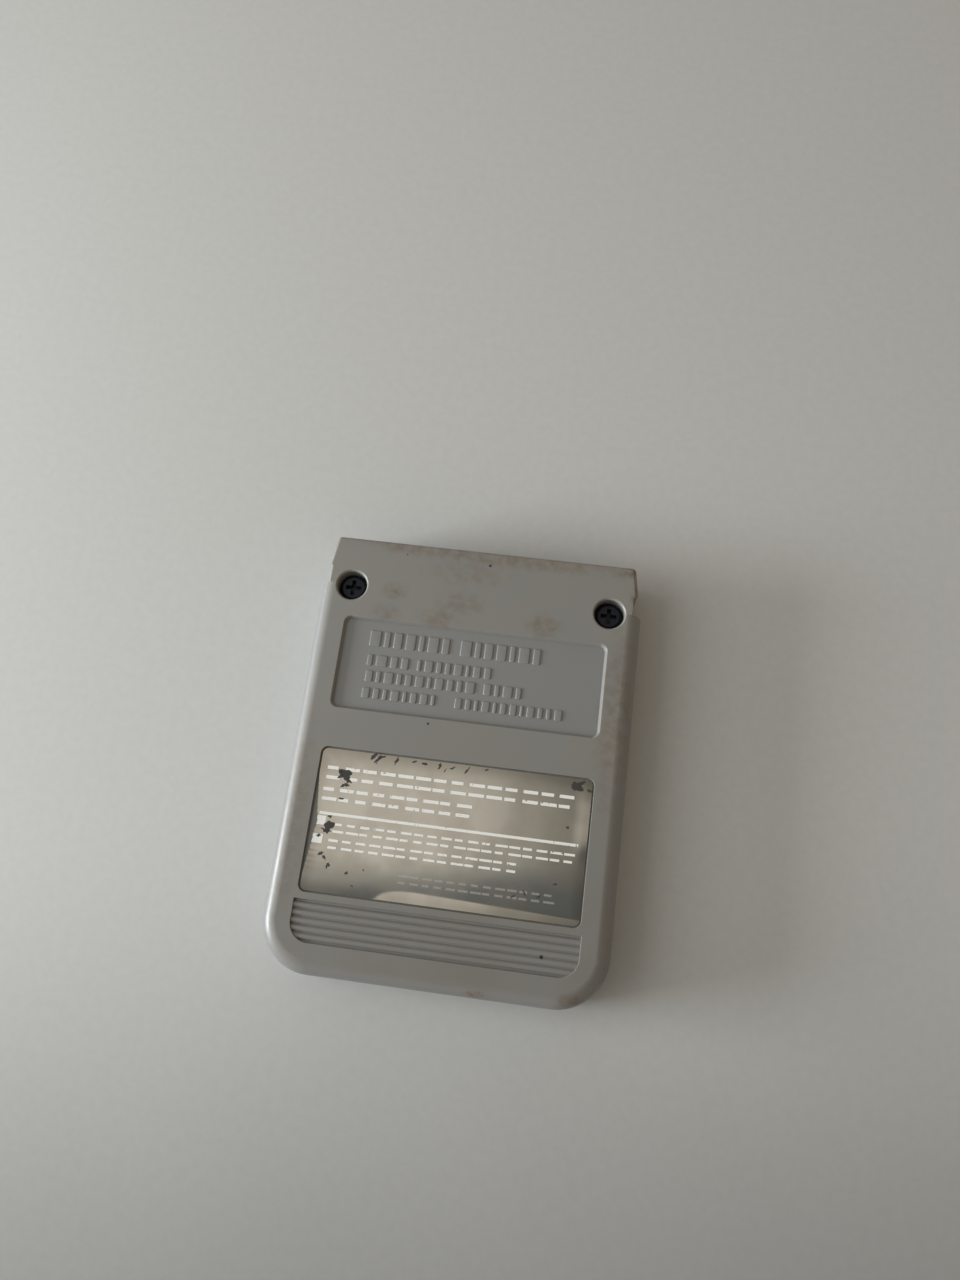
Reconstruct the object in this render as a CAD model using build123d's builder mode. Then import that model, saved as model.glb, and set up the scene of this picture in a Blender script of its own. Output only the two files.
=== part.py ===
from build123d import *
import os

os.makedirs("parts", exist_ok=True)

# Memory card for a game console. Two moulded covers, hooked together at the grip end and
# screwed together at the connector end, hold a circuit board and a block of contacts.
# Millimetres. X runs across the card, +Y points to the connector end, and Z rises from the
# front face, on which the card lies, to the rear face with the screws and the label.

# Card
card_width = 42.0
card_length = 55.0
card_thickness = 8.0
parting_height = 4.0
wall = 1.5

# Plan outline: a wide body, and a neck that goes into the slot as far as the shoulders
grip_corner_radius = 6.5
neck_length = 6.45
neck_tip_step = 1.3
neck_root_step = 0.3
neck_corner_radius = 0.6
notch_length = 2.75
notch_step = 1.25
notch_ramp = 0.5

# Outer edges
rear_edge_radius = 2.0
front_edge_radius = 0.7
neck_edge_radius = 0.5

# Lip of the front cover, in a rebate of the rear cover
lip_height = 0.8
lip_thickness = 0.7
lip_clearance = 0.1

# Hooks of the rear cover, in pockets of the front cover's end wall
hook_spacing = 16.0
hook_width = 4.0
hook_thickness = 1.0
hook_reach = 0.5
hook_height = 0.8
hook_drop = 1.0
hook_clearance = 0.1

# Screws and the bosses that they join
screw_from_tip = 6.6
screw_from_side = 4.2
screw_head_diameter = 3.5
screw_head_height = 1.3
screw_head_bevel = 0.35
screw_shank_diameter = 2.0
cross_length = 2.0
cross_width = 0.5
cross_depth = 0.8
counterbore_diameter = 3.9
counterbore_depth = 2.5
counterbore_rim = 0.2
screw_clearance = 0.1
pilot_clearance = 0.05
pilot_relief = 0.3
boss_wall = 0.8

# Recessed panel on the rear face
panel_from_tip = 10.7
panel_from_side = 4.0
panel_length = 12.2
panel_depth = 0.5
panel_corner_radius = 1.0
panel_wall_angle = 30.0

# Label recess on the rear face, between the panel and the grip strip
label_panel_land = 5.0
label_grip_land = 0.83
label_recess_depth = 0.35
label_corner_radius = 0.9
label_clearance = 0.2
label_thickness = 0.12
tear_from_top = 3.4
tear_length = 12.0
tear_depth = 0.75
tear_corners = ((0, 0), (0.25, 0.45), (0.5, 1), (0.58, 0.75), (0.74, 0.55), (1, 0))

# Ribbed grip strip on both faces
grip_from_end = 3.7
grip_from_side = 3.8
grip_length = 4.9
grip_depth = 0.42
grip_strip_radius = 2.4
ridge_count = 5
ridge_from_edge = 0.68
ridge_base = 0.8
ridge_shoulder = 0.5
ridge_shoulder_height = 0.19
ridge_crest = 0.22
ridge_height = 0.28

# Place for an index label on the front face
index_from_tip = 9.0
index_grip_land = 2.0
index_depth = 0.3

# Circuit board between the bosses, the contact block and the hooks, on posts of the front
# cover and under posts of the rear cover
board_standoff = 1.0
board_thickness = 0.8
board_side_gap = 1.2
board_end_gap = 0.2
board_block_gap = 0.2
board_boss_gap = 0.15
board_corner_radius = 1.5
post_width = 3.0
post_from_side = 2.6
post_from_end = 5.7
post_from_tip = 9.5
press_gap = 0.05

# Contact block in the mouth, and its blades in groups between partitions
mouth_width = 25.8
block_clearance = 0.1
block_recess = 0.5
block_length = 8.2
block_boss_gap = 0.2
bridge_from_back = 0.8
bridge_length = 1.4
partition = 0.8
contact_counts = (2, 3, 3)
contact_pitch = 2.6
group_gap = 1.0
blade_width = 1.9
blade_thickness = 0.3
blade_bed = 0.15
blade_clearance = 0.05
blade_tail = 2.4
nose_lip = 0.5
nose_gap = 0.25
nose_run = 0.8
nose_drop = 0.6
nose_bend_radius = 0.6

# Packages with leads
package_standoff = 0.1
package_chamfer = 0.15
dimple_radius = 0.5
dimple_depth = 0.1
dimple_inset = 1.3
controller_x = -4.0
controller_from_tip = 12.6
controller_height = 1.4
controller_lead_count = 8
controller_lead_pitch = 0.8
controller_lead_margin = 0.7
controller_lead_width = 0.35
memory_from_end = 8.7
memory_length = 18.4
memory_height = 1.0
memory_lead_count = 8
memory_lead_pitch = 1.0
memory_lead_margin = 0.5
memory_lead_width = 0.4
lead_thickness = 0.15
lead_reach = 1.1
lead_foot = 0.55
lead_slope = 0.15

# Small pieces on the board: places are X and the distance from the board's connector edge,
# and one column of them stands clear of the posts on the right
column_clearance = 1.7
resonator_from_tip = 9.5
resonator_size = (6.0, 3.0, 1.5)
resonator_base_height = 0.5
resonator_rim = 0.3
tantalum_from_tip = 13.6
tantalum_size = (3.2, 1.6, 1.5)
diode_from_tip = 17.2
diode_size = (2.7, 1.6, 1.1)
terminal_width = 1.2
terminal_thickness = 0.2
terminal_wrap = 0.6
column_capacitor_from_tip = 20.8
capacitor_places = ((-12.6, 13.5), (-12.6, 17.0), (-4.0, 20.8), (1.5, 20.8))
capacitor_size = (2.0, 1.25, 0.85)
resistor_places = ((-9.0, 4.2), (-5.5, 4.2), (-2.0, 4.2), (1.5, 4.2), (5.0, 4.2))
resistor_size = (1.25, 2.0, 0.5)
end_cap_length = 0.4
end_cap_proud = 0.04

# Places that follow from the sizes above
half_width = card_width / 2
tip_y = card_length / 2
grip_y = -card_length / 2
shoulder_y = tip_y - neck_length
ceiling_z = card_thickness - wall
cavity_tip_y = tip_y - wall
cavity_grip_y = grip_y + wall
neck_tip_half = half_width - neck_tip_step
neck_root_half = half_width - neck_root_step
notch_half = half_width - notch_step
lip_inset = wall - lip_thickness

boss_radius = counterbore_diameter / 2 + boss_wall
screw_x = half_width - screw_from_side
screw_y = tip_y - screw_from_tip
screw_places = ((-screw_x, screw_y), (screw_x, screw_y))
screw_seat_z = card_thickness - counterbore_depth
screw_tip_z = wall
pilot_floor_z = screw_tip_z - pilot_relief

face_width = card_width - 2 * panel_from_side
panel_top_y = tip_y - panel_from_tip
panel_low_y = panel_top_y - panel_length
grip_low_y = grip_y + grip_from_end
grip_top_y = grip_low_y + grip_length
label_top_y = panel_low_y - label_panel_land
label_low_y = grip_top_y + label_grip_land
label_floor_z = card_thickness - label_recess_depth

board_low_z = wall + board_standoff
board_top_z = board_low_z + board_thickness
board_half = half_width - wall - board_side_gap
block_front_y = tip_y - block_recess
block_back_y = block_front_y - block_length
board_tip_y = block_back_y - board_block_gap
hook_outer_y = cavity_grip_y + hook_clearance
hook_inner_y = hook_outer_y + hook_thickness
board_grip_y = hook_inner_y + board_end_gap
hook_top_z = parting_height - hook_drop
hook_low_z = hook_top_z - hook_height
hook_xs = (-hook_spacing / 2, hook_spacing / 2)
post_x = board_half - post_from_side
post_low_y = board_grip_y + post_from_end
post_high_y = board_tip_y - post_from_tip
post_places = [(x, y) for x in (-post_x, post_x) for y in (post_low_y, post_high_y)]
column_x = post_x - post_width / 2 - column_clearance - resonator_size[0] / 2

nose_half = mouth_width / 2 - block_clearance
heel_half = screw_x - boss_radius - block_boss_gap
block_base_z = board_top_z + blade_bed
block_top_z = ceiling_z - block_clearance
bridge_low_y = block_back_y + bridge_from_back
bridge_front_y = bridge_low_y + bridge_length
pocket_front_y = block_front_y - nose_lip
nose_tip_y = pocket_front_y - nose_gap
nose_bend_y = nose_tip_y - nose_run
pocket_back_y = nose_bend_y - nose_gap
pocket_floor_z = board_top_z - nose_drop - nose_gap

contact_span = (sum(contact_counts) - 1) * contact_pitch + (len(contact_counts) - 1) * group_gap
contact_xs = []
partition_xs = []
next_x = -contact_span / 2
for contact_count in contact_counts:
    for contact in range(contact_count):
        contact_xs.append(next_x)
        next_x += contact_pitch
    partition_xs.append(next_x + (group_gap - contact_pitch) / 2)
    next_x += group_gap
partition_xs.pop()

controller_y = board_tip_y - controller_from_tip
controller_size = (controller_lead_count - 1) * controller_lead_pitch + 2 * controller_lead_margin
memory_y = board_grip_y + memory_from_end
memory_width = (memory_lead_count - 1) * memory_lead_pitch + 2 * memory_lead_margin
package_z = board_top_z + package_standoff


def rounded_end(width, low_y, high_y, corner_radius):
    """Plan shape that is square at the connector end and rounded at the grip end."""
    with BuildSketch() as plan:
        with Locations((0, low_y)):
            Rectangle(width, high_y - low_y, align=(Align.CENTER, Align.MIN))
        fillet(plan.vertices().group_by(Axis.Y)[0], corner_radius)
    return plan.sketch


def neck_plan():
    """Plan of the neck, which narrows from the shoulders to the tip."""
    with BuildSketch() as plan:
        with BuildLine():
            Polyline(
                (-neck_root_half, shoulder_y),
                (-neck_tip_half, tip_y),
                (neck_tip_half, tip_y),
                (neck_root_half, shoulder_y),
                close=True,
            )
        make_face()
        fillet(plan.vertices().group_by(Axis.Y)[-1], neck_corner_radius)
    return plan.sketch


def inner_plan(inset):
    """Plan of all that lies deeper than the inset inside the walls."""
    with BuildSketch() as plan:
        add(rounded_end(card_width - 2 * inset, grip_y + inset, shoulder_y - inset,
                        grip_corner_radius - inset))
        with Locations((0, tip_y - inset)):
            Rectangle(2 * (neck_tip_half - inset), neck_length + wall,
                      align=(Align.CENTER, Align.MAX))
    return plan.sketch


def cavity_plan():
    """Plan of the hollow between the walls, with the mouth through the end wall."""
    with BuildSketch() as plan:
        add(inner_plan(wall))
        with Locations((0, tip_y)):
            Rectangle(mouth_width, neck_length, align=(Align.CENTER, Align.MAX))
    return plan.sketch


def notch_plan():
    """Plan of the two side notches: a ramp at the front, and the shoulder behind."""
    ramp_low_y = shoulder_y + notch_length - notch_ramp
    with BuildSketch() as plan:
        with BuildLine():
            Polyline(
                (notch_half, shoulder_y),
                (half_width, shoulder_y),
                (half_width, ramp_low_y + half_width - notch_half),
                (notch_half, ramp_low_y),
                close=True,
            )
        make_face()
        mirror(about=Plane.YZ)
    return plan.sketch


def cover_blank(outer_z, edge_radius):
    """Solid blank of one cover, from the parting plane to its rounded outer face."""
    with BuildPart() as neck:
        with BuildSketch(Plane.XY.offset(parting_height)):
            add(neck_plan())
        extrude(amount=outer_z - parting_height)
        outer_edges = neck.edges().filter_by_position(Axis.Z, outer_z, outer_z)
        fillet(outer_edges.sort_by(Axis.Y)[1:], neck_edge_radius)
    with BuildPart() as blank:
        with BuildSketch(Plane.XY.offset(parting_height)):
            add(rounded_end(card_width, grip_y, shoulder_y, grip_corner_radius))
        extrude(amount=outer_z - parting_height)
        outer_edges = blank.edges().filter_by_position(Axis.Z, outer_z, outer_z)
        fillet(outer_edges.sort_by(Axis.Y)[:-1], edge_radius)
        add(neck.part)
    return blank.part


def grip_grooves(outer_z, inward):
    """What the grip strip takes out of an outer face: a recess less its ridges."""
    with BuildPart() as grooves:
        with BuildSketch(Plane.XY.offset(outer_z)):
            add(rounded_end(card_width - 2 * grip_from_side, grip_low_y, grip_top_y,
                            grip_strip_radius))
        extrude(amount=inward * grip_depth)
        ridge_pitch = (grip_length - 2 * ridge_from_edge) / (ridge_count - 1)
        floor_z = outer_z + inward * grip_depth
        shoulder_z = floor_z - inward * ridge_shoulder_height
        crest_z = floor_z - inward * ridge_height
        with BuildSketch(Plane.YZ.offset(-half_width)):
            for ridge in range(ridge_count):
                ridge_y = grip_low_y + ridge_from_edge + ridge * ridge_pitch
                with BuildLine():
                    Polyline(
                        (ridge_y - ridge_base / 2, floor_z),
                        (ridge_y + ridge_base / 2, floor_z),
                        (ridge_y + ridge_shoulder / 2, shoulder_z),
                        (ridge_y + ridge_crest / 2, crest_z),
                        (ridge_y - ridge_crest / 2, crest_z),
                        (ridge_y - ridge_shoulder / 2, shoulder_z),
                        close=True,
                    )
                make_face()
        extrude(amount=card_width, mode=Mode.SUBTRACT)
    return grooves.part


def face_field(low_y, high_y, corner_radius):
    """Plan of a rounded field across an outer face."""
    with BuildSketch() as plan:
        with Locations((0, (low_y + high_y) / 2)):
            RectangleRounded(face_width, high_y - low_y, corner_radius)
    return plan.sketch


def gull_wing(height, width):
    """One chip lead: out from the package's side at X = 0, and down to the board at Z = 0."""
    half_thickness = lead_thickness / 2
    ankle_x = lead_reach - lead_foot
    knee_x = ankle_x - lead_slope
    with BuildPart() as lead:
        with BuildSketch(Plane.XZ.offset(-width / 2)):
            with BuildLine():
                Polyline(
                    (0, height + half_thickness),
                    (knee_x + half_thickness, height + half_thickness),
                    (ankle_x + half_thickness, lead_thickness),
                    (lead_reach, lead_thickness),
                    (lead_reach, 0),
                    (ankle_x - half_thickness, 0),
                    (knee_x - half_thickness, height - half_thickness),
                    (0, height - half_thickness),
                    close=True,
                )
            make_face()
        extrude(amount=width)
    return lead.part


def chip_piece(size):
    """Ceramic chip with a metal cap on each end of its longer side, seated at Z = 0."""
    along_x = size[0] > size[1]
    length = max(size[0], size[1])
    breadth = min(size[0], size[1])
    with BuildPart() as chip:
        Box(length - 2 * end_cap_proud, breadth, size[2],
            align=(Align.CENTER, Align.CENTER, Align.MIN))
        for end in (-1, 1):
            with Locations((end * (length - end_cap_length) / 2, 0, 0)):
                Box(end_cap_length, breadth + 2 * end_cap_proud, size[2] + end_cap_proud,
                    align=(Align.CENTER, Align.CENTER, Align.MIN))
    return chip.part if along_x else chip.part.rotate(Axis.Z, 90)


def moulded_piece(size):
    """Moulded block with a terminal strap round each end, seated on its straps at Z = 0."""
    length, breadth, height = size
    body_length = length - 2 * terminal_thickness
    with BuildPart() as piece:
        with Locations((0, 0, terminal_thickness)):
            Box(body_length, breadth, height - terminal_thickness,
                align=(Align.CENTER, Align.CENTER, Align.MIN))
        chamfer(piece.faces().sort_by(Axis.Z)[-1].edges(), package_chamfer)
        for end in (-1, 1):
            with Locations((end * length / 2, 0, 0)):
                Box(terminal_wrap, terminal_width, terminal_thickness,
                    align=(Align.MAX if end > 0 else Align.MIN, Align.CENTER, Align.MIN))
                Box(terminal_thickness, terminal_width, height / 2,
                    align=(Align.MAX if end > 0 else Align.MIN, Align.CENTER, Align.MIN))
    return piece.part


# Front cover: a tray with the lip, the pilot bosses, the posts under the board, and the
# pockets for the hooks
front_blank = cover_blank(0, front_edge_radius)
front_grooves = grip_grooves(0, 1)
with BuildPart() as front_cover:
    add(front_blank)
    with BuildSketch(Plane.XY.offset(parting_height)):
        add(inner_plan(lip_inset))
        with Locations(*screw_places):
            Circle(boss_radius + lip_clearance, mode=Mode.SUBTRACT)
    extrude(amount=lip_height)
    with BuildSketch(Plane.XY.offset(wall)):
        add(cavity_plan())
    extrude(amount=parting_height + lip_height - wall, mode=Mode.SUBTRACT)
    with BuildSketch(Plane.XY.offset(wall)):
        with Locations(*screw_places):
            Circle(boss_radius)
    extrude(amount=parting_height - wall)
    with Locations(*[(x, y, parting_height) for x, y in screw_places]):
        Hole(screw_shank_diameter / 2 + pilot_clearance, depth=parting_height - pilot_floor_z)
    with BuildSketch(Plane.XY.offset(wall)):
        with Locations(*post_places):
            Rectangle(post_width, post_width)
    extrude(amount=board_standoff)
    with Locations(*[(x, hook_outer_y, hook_low_z - hook_clearance) for x in hook_xs]):
        Box(hook_width + 2 * hook_clearance, hook_reach + hook_clearance,
            hook_height + 2 * hook_clearance, align=(Align.CENTER, Align.MAX, Align.MIN),
            mode=Mode.SUBTRACT)
    with BuildSketch():
        add(face_field(grip_top_y + index_grip_land, tip_y - index_from_tip, label_corner_radius))
    extrude(amount=index_depth, mode=Mode.SUBTRACT)
    add(front_grooves, mode=Mode.SUBTRACT)
    with BuildSketch():
        add(notch_plan())
    extrude(amount=parting_height + lip_height, mode=Mode.SUBTRACT)
front_cover.part.label = "front_cover"
export_step(front_cover.part, "parts/front_cover.step")

# Rear cover: the lid with the counterbored bosses, the hooks and the posts that hold the board
# down, and outside it the panel, the label recess and the grip strip
rear_blank = cover_blank(card_thickness, rear_edge_radius)
rear_grooves = grip_grooves(card_thickness, -1)
with BuildPart() as rear_cover:
    add(rear_blank)
    with BuildSketch(Plane.XY.offset(parting_height)):
        add(cavity_plan())
    extrude(amount=ceiling_z - parting_height, mode=Mode.SUBTRACT)
    with BuildSketch(Plane.XY.offset(parting_height)):
        add(inner_plan(lip_inset - lip_clearance))
    extrude(amount=lip_height + lip_clearance, mode=Mode.SUBTRACT)
    with BuildSketch(Plane.XY.offset(parting_height)):
        with Locations(*screw_places):
            Circle(boss_radius)
    extrude(amount=ceiling_z - parting_height)
    with BuildSketch(Plane.XY.offset(board_top_z + press_gap)):
        with Locations(*post_places):
            Rectangle(post_width, post_width)
    extrude(amount=ceiling_z - board_top_z - press_gap)
    with BuildSketch(Plane.YZ) as hook:
        with BuildLine():
            Polyline(
                (hook_outer_y, ceiling_z),
                (hook_inner_y, ceiling_z),
                (hook_inner_y, hook_low_z),
                (hook_outer_y, hook_low_z),
                (hook_outer_y - hook_reach, hook_top_z),
                (hook_outer_y, hook_top_z),
                close=True,
            )
        make_face()
    for hook_x in hook_xs:
        extrude(hook.sketch.moved(Location((hook_x, 0, 0))), amount=hook_width / 2, both=True)
    with Locations(*[(x, y, card_thickness) for x, y in screw_places]):
        CounterBoreHole(screw_shank_diameter / 2 + screw_clearance, counterbore_diameter / 2,
                        counterbore_depth)
    rear_face = rear_cover.faces().sort_by(Axis.Z)[-1]
    chamfer(rear_face.edges().filter_by(GeomType.CIRCLE), counterbore_rim)
    with BuildSketch(Plane.XY.offset(card_thickness)):
        add(face_field(panel_low_y, panel_top_y, panel_corner_radius))
    extrude(amount=-panel_depth, taper=panel_wall_angle, mode=Mode.SUBTRACT)
    with BuildSketch(Plane.XY.offset(card_thickness)):
        add(face_field(label_low_y, label_top_y, label_corner_radius))
    extrude(amount=-label_recess_depth, mode=Mode.SUBTRACT)
    add(rear_grooves, mode=Mode.SUBTRACT)
    with BuildSketch(Plane.XY.offset(parting_height)):
        add(notch_plan())
    extrude(amount=card_thickness - parting_height, mode=Mode.SUBTRACT)
rear_cover.part.label = "rear_cover"
export_step(rear_cover.part, "parts/rear_cover.step")

# Foil label on the floor of its recess, with a tear along its left edge
label_half = face_width / 2 - label_clearance
tear_points = [
    (-label_half + inward * tear_depth, label_top_y - tear_from_top - down * tear_length)
    for down, inward in tear_corners
]
with BuildPart() as rear_label:
    with BuildSketch(Plane.XY.offset(label_floor_z)):
        with Locations((0, (label_low_y + label_top_y) / 2)):
            RectangleRounded(2 * label_half, label_top_y - label_low_y - 2 * label_clearance,
                             label_corner_radius - label_clearance)
        with BuildLine():
            Polyline(*tear_points, close=True)
        make_face(mode=Mode.SUBTRACT)
    extrude(amount=label_thickness)
rear_label.part.label = "rear_label"
export_step(rear_label.part, "parts/rear_label.step")

# Screws: bevelled head with a cross recess, seated in the counterbore, and a blunt shank
with BuildPart() as cover_screws:
    with BuildSketch(Plane.XY.offset(screw_seat_z)):
        with Locations(*screw_places):
            Circle(screw_head_diameter / 2)
    extrude(amount=screw_head_height)
    chamfer(cover_screws.edges().group_by(Axis.Z)[-1], screw_head_bevel)
    with BuildSketch(Plane.XY.offset(screw_tip_z)):
        with Locations(*screw_places):
            Circle(screw_shank_diameter / 2)
    extrude(amount=screw_seat_z - screw_tip_z)
    with BuildSketch(Plane.XY.offset(screw_seat_z + screw_head_height)):
        with Locations(*screw_places):
            Rectangle(cross_length, cross_width)
            Rectangle(cross_width, cross_length)
    extrude(amount=-cross_depth, mode=Mode.SUBTRACT)
cover_screws.part.label = "cover_screws"
export_step(cover_screws.part, "parts/cover_screws.step")

# Circuit board, scalloped round the bosses
with BuildPart() as circuit_board:
    with BuildSketch(Plane.XY.offset(board_low_z)):
        with Locations((0, (board_grip_y + board_tip_y) / 2)):
            RectangleRounded(2 * board_half, board_tip_y - board_grip_y, board_corner_radius)
        with Locations(*screw_places):
            Circle(boss_radius + board_boss_gap, mode=Mode.SUBTRACT)
    extrude(amount=board_thickness)
circuit_board.part.label = "circuit_board"
export_step(circuit_board.part, "parts/circuit_board.step")

# Contact block: a base with a nose in the mouth and a heel behind the end wall, a bridge over
# the blades, and partitions between the groups of contacts
with BuildPart() as contact_block:
    with BuildSketch(Plane.XY.offset(wall)):
        with Locations((0, block_front_y)):
            Rectangle(2 * nose_half, block_front_y - cavity_tip_y + block_clearance,
                      align=(Align.CENTER, Align.MAX))
        with Locations((0, block_back_y)):
            Rectangle(2 * heel_half, cavity_tip_y - block_clearance - block_back_y,
                      align=(Align.CENTER, Align.MIN))
    extrude(amount=block_base_z - wall)
    wall_xs = [-nose_half + partition / 2, *partition_xs, nose_half - partition / 2]
    with BuildSketch(Plane.XY.offset(block_base_z)):
        with Locations((0, bridge_low_y)):
            Rectangle(2 * heel_half, bridge_length, align=(Align.CENTER, Align.MIN))
        with Locations(*[(x, bridge_front_y) for x in wall_xs]):
            Rectangle(partition, block_front_y - bridge_front_y, align=(Align.CENTER, Align.MIN))
    extrude(amount=block_top_z - block_base_z)
    with Locations(*[(x, block_back_y, board_top_z) for x in contact_xs]):
        Box(blade_width + 2 * blade_clearance, pocket_front_y - block_back_y,
            blade_thickness + blade_clearance, align=(Align.CENTER, Align.MIN, Align.MIN),
            mode=Mode.SUBTRACT)
    with Locations(*[(x, pocket_back_y, pocket_floor_z) for x in contact_xs]):
        Box(blade_width + 2 * blade_clearance, pocket_front_y - pocket_back_y,
            block_base_z - pocket_floor_z, align=(Align.CENTER, Align.MIN, Align.MIN),
            mode=Mode.SUBTRACT)
contact_block.part.label = "contact_block"
export_step(contact_block.part, "parts/contact_block.step")

# Contact blades: the tail on the board, the flat in its groove, the nose dipped in its pocket
blade_z = board_top_z + blade_thickness / 2
for number, contact_x in enumerate(contact_xs, start=1):
    with BuildPart() as contact_blade:
        with BuildSketch(Plane.YZ.offset(contact_x - blade_width / 2)):
            with BuildLine():
                FilletPolyline(
                    (board_tip_y - blade_tail, blade_z),
                    (nose_bend_y, blade_z),
                    (nose_tip_y, blade_z - nose_drop),
                    radius=nose_bend_radius,
                )
            trace(line_width=blade_thickness)
        extrude(amount=blade_width)
    contact_blade.part.label = f"contact_blade_{number}"
    export_step(contact_blade.part, f"parts/contact_blade_{number}.step")

# Controller: a square flat pack with leads on its four sides
with BuildPart() as controller_chip:
    with BuildSketch(Plane.XY.offset(package_z)):
        with Locations((controller_x, controller_y)):
            Rectangle(controller_size, controller_size)
    extrude(amount=controller_height)
    chamfer(controller_chip.faces().sort_by(Axis.Z)[-1].edges(), package_chamfer)
    dimple_offset = controller_size / 2 - dimple_inset
    with Locations((controller_x - dimple_offset, controller_y + dimple_offset,
                    package_z + controller_height)):
        Hole(dimple_radius, depth=dimple_depth)
controller_chip.part.label = "controller_chip"
export_step(controller_chip.part, "parts/controller_chip.step")

controller_lead = gull_wing(package_standoff + controller_height / 2, controller_lead_width)
with BuildPart() as controller_leads:
    with Locations((controller_x, controller_y, board_top_z)):
        with PolarLocations(controller_size / 2, 4):
            with GridLocations(0, controller_lead_pitch, 1, controller_lead_count):
                add(controller_lead)
controller_leads.part.label = "controller_leads"
export_step(controller_leads.part, "parts/controller_leads.step")

# Memory: a thin package across the board with leads at its two ends
with BuildPart() as memory_chip:
    with BuildSketch(Plane.XY.offset(package_z)):
        with Locations((0, memory_y)):
            Rectangle(memory_length, memory_width)
    extrude(amount=memory_height)
    chamfer(memory_chip.faces().sort_by(Axis.Z)[-1].edges(), package_chamfer)
    with Locations((dimple_inset - memory_length / 2, memory_y + memory_width / 2 - dimple_inset,
                    package_z + memory_height)):
        Hole(dimple_radius, depth=dimple_depth)
memory_chip.part.label = "memory_chip"
export_step(memory_chip.part, "parts/memory_chip.step")

memory_lead = gull_wing(package_standoff + memory_height / 2, memory_lead_width)
with BuildPart() as memory_leads:
    with Locations((0, memory_y, board_top_z)):
        with PolarLocations(memory_length / 2, 2):
            with GridLocations(0, memory_lead_pitch, 1, memory_lead_count):
                add(memory_lead)
memory_leads.part.label = "memory_leads"
export_step(memory_leads.part, "parts/memory_leads.step")

# Clock resonator: a ceramic base with a drawn metal lid
with BuildPart() as resonator:
    with BuildSketch(Plane.XY.offset(board_top_z)):
        with Locations((column_x, board_tip_y - resonator_from_tip)):
            Rectangle(resonator_size[0], resonator_size[1])
    extrude(amount=resonator_base_height)
    with BuildSketch(Plane.XY.offset(board_top_z + resonator_base_height)):
        with Locations((column_x, board_tip_y - resonator_from_tip)):
            Rectangle(resonator_size[0] - 2 * resonator_rim,
                      resonator_size[1] - 2 * resonator_rim)
    extrude(amount=resonator_size[2] - resonator_base_height)
    chamfer(resonator.faces().sort_by(Axis.Z)[-1].edges(), resonator_rim)
resonator.part.label = "resonator"
export_step(resonator.part, "parts/resonator.step")

# Supply capacitor and protection diode: moulded blocks with strap terminals
tantalum_piece = moulded_piece(tantalum_size)
with BuildPart() as supply_capacitor:
    with Locations((column_x, board_tip_y - tantalum_from_tip, board_top_z)):
        add(tantalum_piece)
supply_capacitor.part.label = "supply_capacitor"
export_step(supply_capacitor.part, "parts/supply_capacitor.step")

diode_piece = moulded_piece(diode_size)
with BuildPart() as protection_diode:
    with Locations((column_x, board_tip_y - diode_from_tip, board_top_z)):
        add(diode_piece)
protection_diode.part.label = "protection_diode"
export_step(protection_diode.part, "parts/protection_diode.step")

# Ceramic chip capacitors and resistors, each kind a group of separate pieces
capacitor_piece = chip_piece(capacitor_size)
capacitor_spots = (*capacitor_places, (column_x, column_capacitor_from_tip))
with BuildPart() as chip_capacitors:
    with Locations(*[(x, board_tip_y - from_tip, board_top_z) for x, from_tip in capacitor_spots]):
        add(capacitor_piece)
chip_capacitors.part.label = "chip_capacitors"
export_step(chip_capacitors.part, "parts/chip_capacitors.step")

resistor_piece = chip_piece(resistor_size)
with BuildPart() as chip_resistors:
    with Locations(*[(x, board_tip_y - from_tip, board_top_z) for x, from_tip in resistor_places]):
        add(resistor_piece)
chip_resistors.part.label = "chip_resistors"
export_step(chip_resistors.part, "parts/chip_resistors.step")
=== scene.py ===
import math

import bmesh
import bpy
import numpy as np
from mathutils import Matrix, Vector


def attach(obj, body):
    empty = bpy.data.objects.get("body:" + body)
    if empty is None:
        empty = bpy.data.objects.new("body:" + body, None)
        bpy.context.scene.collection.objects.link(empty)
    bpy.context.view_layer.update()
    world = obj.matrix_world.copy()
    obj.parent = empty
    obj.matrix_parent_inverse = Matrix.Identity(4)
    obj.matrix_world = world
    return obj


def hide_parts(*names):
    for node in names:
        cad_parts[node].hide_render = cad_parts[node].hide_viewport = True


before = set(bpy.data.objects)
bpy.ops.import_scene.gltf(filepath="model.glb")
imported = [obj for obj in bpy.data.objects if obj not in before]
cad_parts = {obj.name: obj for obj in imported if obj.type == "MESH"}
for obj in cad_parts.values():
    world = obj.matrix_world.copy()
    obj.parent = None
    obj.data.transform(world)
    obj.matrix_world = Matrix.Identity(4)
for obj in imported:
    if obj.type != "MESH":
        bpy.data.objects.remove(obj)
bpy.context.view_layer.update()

mm = 0.001  # the frame is in metres
print("frame loaded:", len(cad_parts), "nodes")


# Mesh helpers

softLook = {
    "sharpFrom": 33,  # degrees; flatter edges belong to round faces
    "flat": 0.3,  # degrees; faces closer than this to one plane are joined
    "merge": 0.0002,
    "steps": 2,
    "covers": 0.07,
    "screws": 0.05,
    "bores": 0.02,  # the counterbores come close to the round of the sides
    "boreCentres": ((-16.8, 20.9), (16.8, 20.9)),
    "boreReach": 2.4,
    "hollow": ((-19.6, -26.1, 1.4), (19.6, 26.1, 6.6)),  # nothing in here shows
}


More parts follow.
